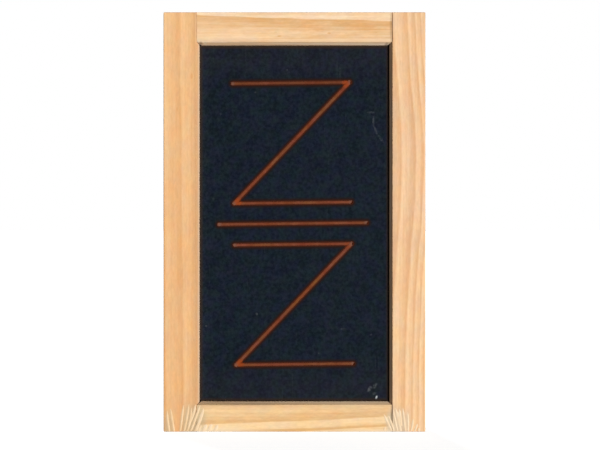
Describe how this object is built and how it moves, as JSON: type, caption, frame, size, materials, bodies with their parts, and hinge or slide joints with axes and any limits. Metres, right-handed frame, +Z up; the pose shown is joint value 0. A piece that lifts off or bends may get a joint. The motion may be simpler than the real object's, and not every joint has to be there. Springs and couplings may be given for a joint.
{
  "type": "slate writing board",
  "caption": "Framed slate for chalk: a thin slate panel held in the grooves of a glued wooden frame, with red score lines engraved and painted on its front.",
  "frame": {"origin": "middle of the bottom edge, halfway through the thickness, where the board stands", "axes": "+X to the right as seen from the writing side, +Y through the thickness from the writing side to the back, +Z up the board"},
  "size_m": [0.1686, 0.012, 0.27],
  "materials": {
    "frame_wood": "sanded and oiled",
    "slate": "ground matte",
    "score_paint": "matte oil paint",
    "brad_steel": "bare wire",
    "pale_paint": "thin brushed paint"
  },
  "bodies": {
    "root": {"left_stile": "frame_wood", "right_stile": "frame_wood", "top_rail": "frame_wood", "bottom_rail": "frame_wood", "slate_panel": "slate", "upper_z_mark": "score_paint", "centre_line_mark": "score_paint", "lower_z_mark": "score_paint", "corner_brads": "brad_steel"}
  },
  "joints": []
}
